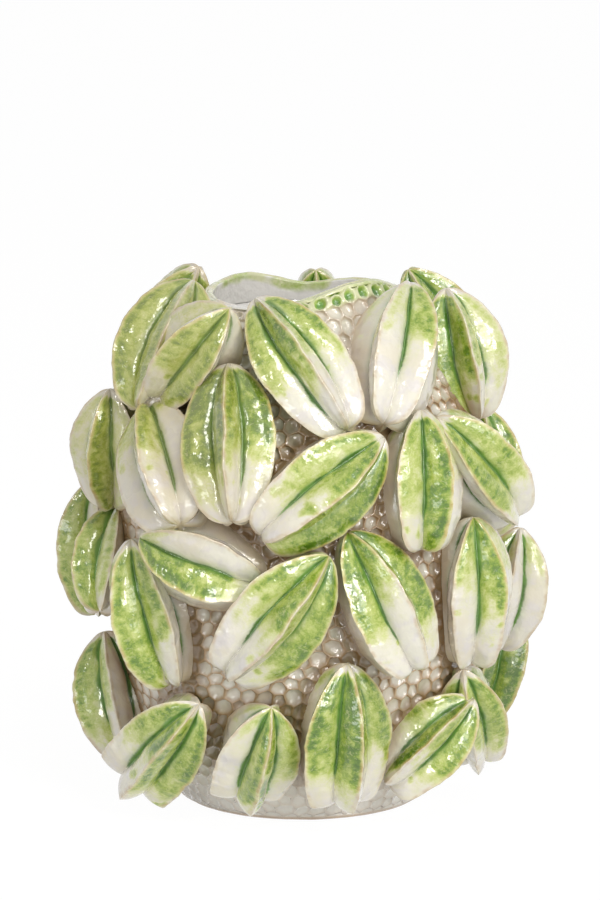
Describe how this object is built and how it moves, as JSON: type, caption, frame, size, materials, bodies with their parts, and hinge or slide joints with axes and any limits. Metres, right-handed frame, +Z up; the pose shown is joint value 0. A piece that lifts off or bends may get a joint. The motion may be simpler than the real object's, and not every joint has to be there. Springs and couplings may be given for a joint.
{
  "type": "star fruit vase",
  "caption": "Hand-built glazed earthenware vase, its swelling wall covered all round in applied ribbed star fruits, open at a narrow wavy mouth.",
  "frame": {"origin": "centre of the foot's underside, on the vessel's axis", "axes": "+Z up through the mouth, -Y the front that the picture shows, +X to the front's right"},
  "size_m": [0.2593, 0.2672, 0.2836],
  "materials": {
    "bare_clay": "matte",
    "glazed_wall": "glossy",
    "glazed_rim": "glossy",
    "glazed_fruit": "glossy"
  },
  "bodies": {
    "root": {"base_slab": "bare_clay", "vessel_wall": "glazed_wall", "rim_band": "glazed_rim", "fruit_rim_1": "glazed_fruit", "fruit_rim_2": "glazed_fruit", "fruit_rim_3": "glazed_fruit", "fruit_rim_4": "glazed_fruit", "fruit_rim_5": "glazed_fruit", "fruit_rim_6": "glazed_fruit", "fruit_rim_7": "glazed_fruit", "fruit_rim_8": "glazed_fruit", "fruit_rim_9": "glazed_fruit", "fruit_rim_10": "glazed_fruit", "fruit_upper_1": "glazed_fruit", "fruit_upper_2": "glazed_fruit", "fruit_upper_3": "glazed_fruit", "fruit_upper_4": "glazed_fruit", "fruit_upper_5": "glazed_fruit", "fruit_upper_6": "glazed_fruit", "fruit_upper_7": "glazed_fruit", "fruit_upper_8": "glazed_fruit", "fruit_upper_9": "glazed_fruit", "fruit_upper_10": "glazed_fruit", "fruit_upper_11": "glazed_fruit", "fruit_upper_12": "glazed_fruit", "fruit_lower_1": "glazed_fruit", "fruit_lower_2": "glazed_fruit", "fruit_lower_3": "glazed_fruit", "fruit_lower_4": "glazed_fruit", "fruit_lower_5": "glazed_fruit", "fruit_lower_6": "glazed_fruit", "fruit_lower_7": "glazed_fruit", "fruit_lower_8": "glazed_fruit", "fruit_lower_9": "glazed_fruit", "fruit_lower_10": "glazed_fruit", "fruit_lower_11": "glazed_fruit", "fruit_lower_12": "glazed_fruit", "fruit_lower_13": "glazed_fruit", "fruit_foot_1": "glazed_fruit", "fruit_foot_2": "glazed_fruit", "fruit_foot_3": "glazed_fruit", "fruit_foot_4": "glazed_fruit", "fruit_foot_5": "glazed_fruit", "fruit_foot_6": "glazed_fruit", "fruit_foot_7": "glazed_fruit", "fruit_foot_8": "glazed_fruit", "fruit_foot_9": "glazed_fruit", "fruit_foot_10": "glazed_fruit", "fruit_foot_11": "glazed_fruit", "fruit_foot_12": "glazed_fruit"}
  },
  "joints": []
}
